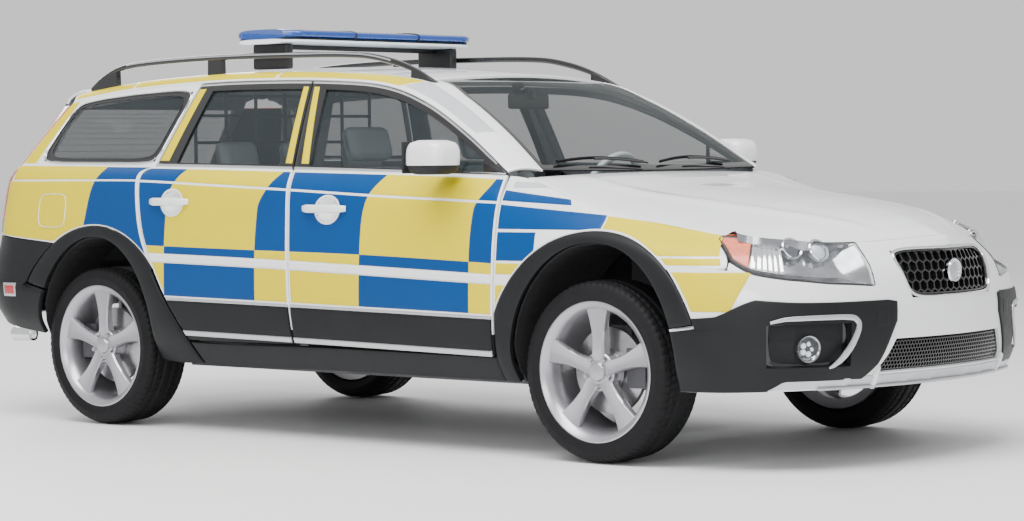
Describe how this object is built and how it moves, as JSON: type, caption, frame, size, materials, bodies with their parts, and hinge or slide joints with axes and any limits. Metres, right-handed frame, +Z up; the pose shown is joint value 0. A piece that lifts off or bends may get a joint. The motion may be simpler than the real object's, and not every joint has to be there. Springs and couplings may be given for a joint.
{
  "type": "police patrol car",
  "caption": "Crossover estate patrol car with a roof light bar, opening doors, bonnet and tailgate, steering front wheels and rolling wheels.",
  "frame": {"origin": "centre of the overall box, on the ground the tyres stand on", "axes": "+X forward out of the bonnet, +Y to the car's left, +Z up"},
  "size_m": [4.839, 2.1536, 1.7263],
  "materials": {
    "paint": "gloss white paint with a yellow and blue block livery",
    "underbody": "dark satin sealed underbody",
    "cladding": "dark grey grained plastic",
    "glass": "clear tinted glass",
    "silver_trim": "satin silver",
    "gloss_black": "gloss black",
    "lens": "clear polished lens over a chrome bowl",
    "red_lens": "red polished lens",
    "blue_lens": "blue translucent lens over clear modules",
    "iron": "bare dark metal",
    "leather": "pale grey leather",
    "black_metal": "black powder coat",
    "alloy": "silver painted alloy",
    "tyre": "black rubber with a road tread"
  },
  "bodies": {
    "body": {"floor_pan": "underbody", "sills": "cladding", "pillars": "paint", "bulkhead": "underbody", "cant_rails": "paint", "roof": "paint", "windscreen": "glass", "front_fenders": "paint", "rear_quarters": "paint", "quarter_windows": "glass", "arch_trims": "cladding", "wheel_liners": "cladding", "front_bumper": "paint", "skid_plate": "silver_trim", "upper_grille": "gloss_black", "lower_grille": "gloss_black", "headlamps": "lens", "fog_lamps": "lens", "rear_bumper": "cladding", "tail_lamps": "red_lens", "roof_rails": "cladding", "lightbar_feet": "cladding", "lightbar_case": "blue_lens", "subframe": "iron", "rear_axle": "iron", "exhaust": "iron", "engine_block": "iron", "dashboard": "cladding", "front_seats": "leather", "rear_seat": "leather", "cargo_guard": "black_metal", "interior_mirror": "gloss_black", "wipers": "black_metal"},
    "bonnet": {"bonnet": "paint"},
    "tailgate": {"tailgate": "paint", "tailgate_glass": "glass"},
    "front_door_left": {"front_door_left": "paint", "front_glass_left": "glass", "mirror_left": "paint"},
    "front_door_right": {"front_door_right": "paint", "front_glass_right": "glass", "mirror_right": "paint"},
    "rear_door_left": {"rear_door_left": "paint", "rear_glass_left": "glass"},
    "rear_door_right": {"rear_door_right": "paint", "rear_glass_right": "glass"},
    "steered_hub_left": {"knuckle_left": "iron"},
    "steered_hub_right": {"knuckle_right": "iron"},
    "front_wheel_left": {"wheel_front_left": "alloy", "tyre_front_left": "tyre"},
    "front_wheel_right": {"wheel_front_right": "alloy", "tyre_front_right": "tyre"},
    "rear_wheel_left": {"wheel_rear_left": "alloy", "tyre_rear_left": "tyre"},
    "rear_wheel_right": {"wheel_rear_right": "alloy", "tyre_rear_right": "tyre"},
    "steering_wheel": {"steering_wheel": "cladding"}
  },
  "joints": [
    {"name": "steer_left", "type": "hinge", "parent": "body", "child": "steered_hub_left", "pos_m": [1.389, 0.802, 0.348], "axis": [0, 0, 1], "range_deg": [-32, 32]},
    {"name": "steer_right", "type": "hinge", "parent": "body", "child": "steered_hub_right", "pos_m": [1.389, -0.802, 0.348], "axis": [0, 0, 1], "range_deg": [-32, 32]},
    {"name": "steering_wheel_turn", "type": "hinge", "parent": "body", "child": "steering_wheel", "pos_m": [0.45, 0.38, 1], "axis": [-0.9272, 0, 0.3746], "range_deg": [-450, 450]},
    {"name": "roll_front_left", "type": "hinge", "parent": "steered_hub_left", "child": "front_wheel_left", "pos_m": [1.389, 0.802, 0.348], "axis": [0, 1, 0], "continuous": true},
    {"name": "roll_front_right", "type": "hinge", "parent": "steered_hub_right", "child": "front_wheel_right", "pos_m": [1.389, -0.802, 0.348], "axis": [0, 1, 0], "continuous": true},
    {"name": "roll_rear_left", "type": "hinge", "parent": "body", "child": "rear_wheel_left", "pos_m": [-1.426, 0.795, 0.348], "axis": [0, 1, 0], "continuous": true},
    {"name": "roll_rear_right", "type": "hinge", "parent": "body", "child": "rear_wheel_right", "pos_m": [-1.426, -0.795, 0.348], "axis": [0, 1, 0], "continuous": true},
    {"name": "front_door_left_hinge", "type": "hinge", "parent": "body", "child": "front_door_left", "pos_m": [0.797, 0.89, 0.75], "axis": [0, 0, -1], "range_deg": [0, 65]},
    {"name": "front_door_right_hinge", "type": "hinge", "parent": "body", "child": "front_door_right", "pos_m": [0.797, -0.89, 0.75], "axis": [0, 0, 1], "range_deg": [0, 65]},
    {"name": "rear_door_left_hinge", "type": "hinge", "parent": "body", "child": "rear_door_left", "pos_m": [-0.3, 0.89, 0.75], "axis": [0, 0, -1], "range_deg": [0, 65]},
    {"name": "rear_door_right_hinge", "type": "hinge", "parent": "body", "child": "rear_door_right", "pos_m": [-0.3, -0.89, 0.75], "axis": [0, 0, 1], "range_deg": [0, 65]},
    {"name": "bonnet_hinge", "type": "hinge", "parent": "body", "child": "bonnet", "pos_m": [1.006, 0, 1.09], "axis": [0, -1, 0], "range_deg": [0, 50]},
    {"name": "tailgate_hinge", "type": "hinge", "parent": "body", "child": "tailgate", "pos_m": [-1.886, 0, 1.512], "axis": [0, 1, 0], "range_deg": [0, 78]}
  ],
  "couplings": [
    {"joint": "steer_right", "follows": "steer_left", "ratio": 1},
    {"joint": "steering_wheel_turn", "follows": "steer_left", "ratio": 14}
  ]
}
